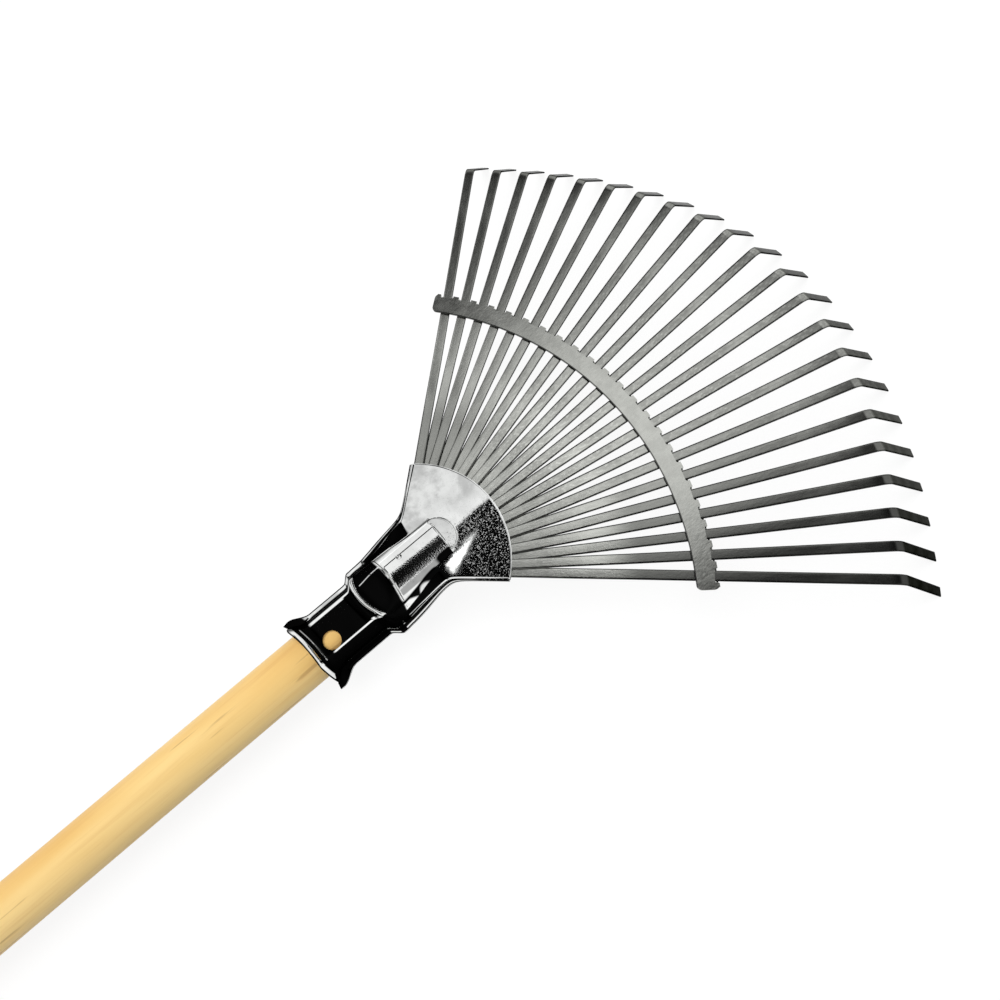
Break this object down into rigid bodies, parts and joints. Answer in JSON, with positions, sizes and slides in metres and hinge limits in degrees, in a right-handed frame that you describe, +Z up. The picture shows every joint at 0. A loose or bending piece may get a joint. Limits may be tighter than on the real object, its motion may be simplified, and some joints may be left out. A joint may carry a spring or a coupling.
{
  "type": "adjustable leaf rake",
  "caption": "Leaf rake with a fan of flat sprung steel tines bent down at their ends, a slotted spreader bar that slides along them, a pressed steel head and a round wooden handle.",
  "frame": {"origin": "centre of the handle's flat butt face", "axes": "+X along the handle from its butt end to the tines, +Z up out of the tines' flat side, away from their bent ends, which point down"},
  "size_m": [1.5079, 0.3722, 0.0444],
  "materials": {
    "wood": "lightly varnished",
    "head_plating": "bright plated",
    "bar_steel": "galvanised",
    "tine_steel": "galvanised"
  },
  "bodies": {
    "head": {"handle": "wood", "front_shell": "head_plating", "back_shell": "head_plating"},
    "spreader": {"spreader_bar": "bar_steel"},
    "tine_01": {"tine_01": "tine_steel"},
    "tine_02": {"tine_02": "tine_steel"},
    "tine_03": {"tine_03": "tine_steel"},
    "tine_04": {"tine_04": "tine_steel"},
    "tine_05": {"tine_05": "tine_steel"},
    "tine_06": {"tine_06": "tine_steel"},
    "tine_07": {"tine_07": "tine_steel"},
    "tine_08": {"tine_08": "tine_steel"},
    "tine_09": {"tine_09": "tine_steel"},
    "tine_10": {"tine_10": "tine_steel"},
    "tine_11": {"tine_11": "tine_steel"},
    "tine_12": {"tine_12": "tine_steel"},
    "tine_13": {"tine_13": "tine_steel"},
    "tine_14": {"tine_14": "tine_steel"},
    "tine_15": {"tine_15": "tine_steel"},
    "tine_16": {"tine_16": "tine_steel"},
    "tine_17": {"tine_17": "tine_steel"},
    "tine_18": {"tine_18": "tine_steel"},
    "tine_19": {"tine_19": "tine_steel"},
    "tine_20": {"tine_20": "tine_steel"},
    "tine_21": {"tine_21": "tine_steel"},
    "tine_22": {"tine_22": "tine_steel"}
  },
  "joints": [
    {"name": "bar_slide", "type": "slide", "parent": "head", "child": "spreader", "axis": [1, 0, 0], "range_m": [0, 0.025]},
    {"name": "tine_01_flex", "type": "hinge", "parent": "head", "child": "tine_01", "pos_m": [1.24911, -0.02822, 0.0155], "axis": [0, 0, 1], "range_deg": [0, 7.41]},
    {"name": "tine_02_flex", "type": "hinge", "parent": "head", "child": "tine_02", "pos_m": [1.25093, -0.02607, 0.0155], "axis": [0, 0, 1], "range_deg": [0, 6.86]},
    {"name": "tine_03_flex", "type": "hinge", "parent": "head", "child": "tine_03", "pos_m": [1.25262, -0.02378, 0.0155], "axis": [0, 0, 1], "range_deg": [0, 6.27]},
    {"name": "tine_04_flex", "type": "hinge", "parent": "head", "child": "tine_04", "pos_m": [1.25417, -0.02134, 0.0155], "axis": [0, 0, 1], "range_deg": [0, 5.63]},
    {"name": "tine_05_flex", "type": "hinge", "parent": "head", "child": "tine_05", "pos_m": [1.25557, -0.01878, 0.0155], "axis": [0, 0, 1], "range_deg": [0, 4.97]},
    {"name": "tine_06_flex", "type": "hinge", "parent": "head", "child": "tine_06", "pos_m": [1.25679, -0.0161, 0.0155], "axis": [0, 0, 1], "range_deg": [0, 4.27]},
    {"name": "tine_07_flex", "type": "hinge", "parent": "head", "child": "tine_07", "pos_m": [1.25783, -0.01332, 0.0155], "axis": [0, 0, 1], "range_deg": [0, 3.53]},
    {"name": "tine_08_flex", "type": "hinge", "parent": "head", "child": "tine_08", "pos_m": [1.25868, -0.01045, 0.0155], "axis": [0, 0, 1], "range_deg": [0, 2.78]},
    {"name": "tine_09_flex", "type": "hinge", "parent": "head", "child": "tine_09", "pos_m": [1.25932, -0.00751, 0.0155], "axis": [0, 0, 1], "range_deg": [0, 2]},
    {"name": "tine_10_flex", "type": "hinge", "parent": "head", "child": "tine_10", "pos_m": [1.25975, -0.00453, 0.0155], "axis": [0, 0, 1], "range_deg": [0, 1.22]},
    {"name": "tine_11_flex", "type": "hinge", "parent": "head", "child": "tine_11", "pos_m": [1.25997, -0.00151, 0.0155], "axis": [0, 0, 1], "range_deg": [0, 0.42]},
    {"name": "tine_12_flex", "type": "hinge", "parent": "head", "child": "tine_12", "pos_m": [1.25997, 0.00151, 0.0155], "axis": [0, 0, 1], "range_deg": [-0.42, 0]},
    {"name": "tine_13_flex", "type": "hinge", "parent": "head", "child": "tine_13", "pos_m": [1.25975, 0.00453, 0.0155], "axis": [0, 0, 1], "range_deg": [-1.22, 0]},
    {"name": "tine_14_flex", "type": "hinge", "parent": "head", "child": "tine_14", "pos_m": [1.25932, 0.00751, 0.0155], "axis": [0, 0, 1], "range_deg": [-2, 0]},
    {"name": "tine_15_flex", "type": "hinge", "parent": "head", "child": "tine_15", "pos_m": [1.25868, 0.01045, 0.0155], "axis": [0, 0, 1], "range_deg": [-2.78, 0]},
    {"name": "tine_16_flex", "type": "hinge", "parent": "head", "child": "tine_16", "pos_m": [1.25783, 0.01332, 0.0155], "axis": [0, 0, 1], "range_deg": [-3.53, 0]},
    {"name": "tine_17_flex", "type": "hinge", "parent": "head", "child": "tine_17", "pos_m": [1.25679, 0.0161, 0.0155], "axis": [0, 0, 1], "range_deg": [-4.27, 0]},
    {"name": "tine_18_flex", "type": "hinge", "parent": "head", "child": "tine_18", "pos_m": [1.25557, 0.01878, 0.0155], "axis": [0, 0, 1], "range_deg": [-4.97, 0]},
    {"name": "tine_19_flex", "type": "hinge", "parent": "head", "child": "tine_19", "pos_m": [1.25417, 0.02134, 0.0155], "axis": [0, 0, 1], "range_deg": [-5.63, 0]},
    {"name": "tine_20_flex", "type": "hinge", "parent": "head", "child": "tine_20", "pos_m": [1.25262, 0.02378, 0.0155], "axis": [0, 0, 1], "range_deg": [-6.27, 0]},
    {"name": "tine_21_flex", "type": "hinge", "parent": "head", "child": "tine_21", "pos_m": [1.25093, 0.02607, 0.0155], "axis": [0, 0, 1], "range_deg": [-6.86, 0]},
    {"name": "tine_22_flex", "type": "hinge", "parent": "head", "child": "tine_22", "pos_m": [1.24911, 0.02822, 0.0155], "axis": [0, 0, 1], "range_deg": [-7.41, 0]}
  ],
  "couplings": [
    {"joint": "tine_01_flex", "follows": "bar_slide", "rad_per_m": 5.1609},
    {"joint": "tine_02_flex", "follows": "bar_slide", "rad_per_m": 4.7789},
    {"joint": "tine_03_flex", "follows": "bar_slide", "rad_per_m": 4.3674},
    {"joint": "tine_04_flex", "follows": "bar_slide", "rad_per_m": 3.9224},
    {"joint": "tine_05_flex", "follows": "bar_slide", "rad_per_m": 3.4577},
    {"joint": "tine_06_flex", "follows": "bar_slide", "rad_per_m": 2.9696},
    {"joint": "tine_07_flex", "follows": "bar_slide", "rad_per_m": 2.4571},
    {"joint": "tine_08_flex", "follows": "bar_slide", "rad_per_m": 1.9312},
    {"joint": "tine_09_flex", "follows": "bar_slide", "rad_per_m": 1.3888},
    {"joint": "tine_10_flex", "follows": "bar_slide", "rad_per_m": 0.8383},
    {"joint": "tine_11_flex", "follows": "bar_slide", "rad_per_m": 0.2801},
    {"joint": "tine_12_flex", "follows": "bar_slide", "rad_per_m": -0.2801},
    {"joint": "tine_13_flex", "follows": "bar_slide", "rad_per_m": -0.8383},
    {"joint": "tine_14_flex", "follows": "bar_slide", "rad_per_m": -1.3888},
    {"joint": "tine_15_flex", "follows": "bar_slide", "rad_per_m": -1.9312},
    {"joint": "tine_16_flex", "follows": "bar_slide", "rad_per_m": -2.4571},
    {"joint": "tine_17_flex", "follows": "bar_slide", "rad_per_m": -2.9696},
    {"joint": "tine_18_flex", "follows": "bar_slide", "rad_per_m": -3.4577},
    {"joint": "tine_19_flex", "follows": "bar_slide", "rad_per_m": -3.9224},
    {"joint": "tine_20_flex", "follows": "bar_slide", "rad_per_m": -4.3674},
    {"joint": "tine_21_flex", "follows": "bar_slide", "rad_per_m": -4.7789},
    {"joint": "tine_22_flex", "follows": "bar_slide", "rad_per_m": -5.1609}
  ]
}
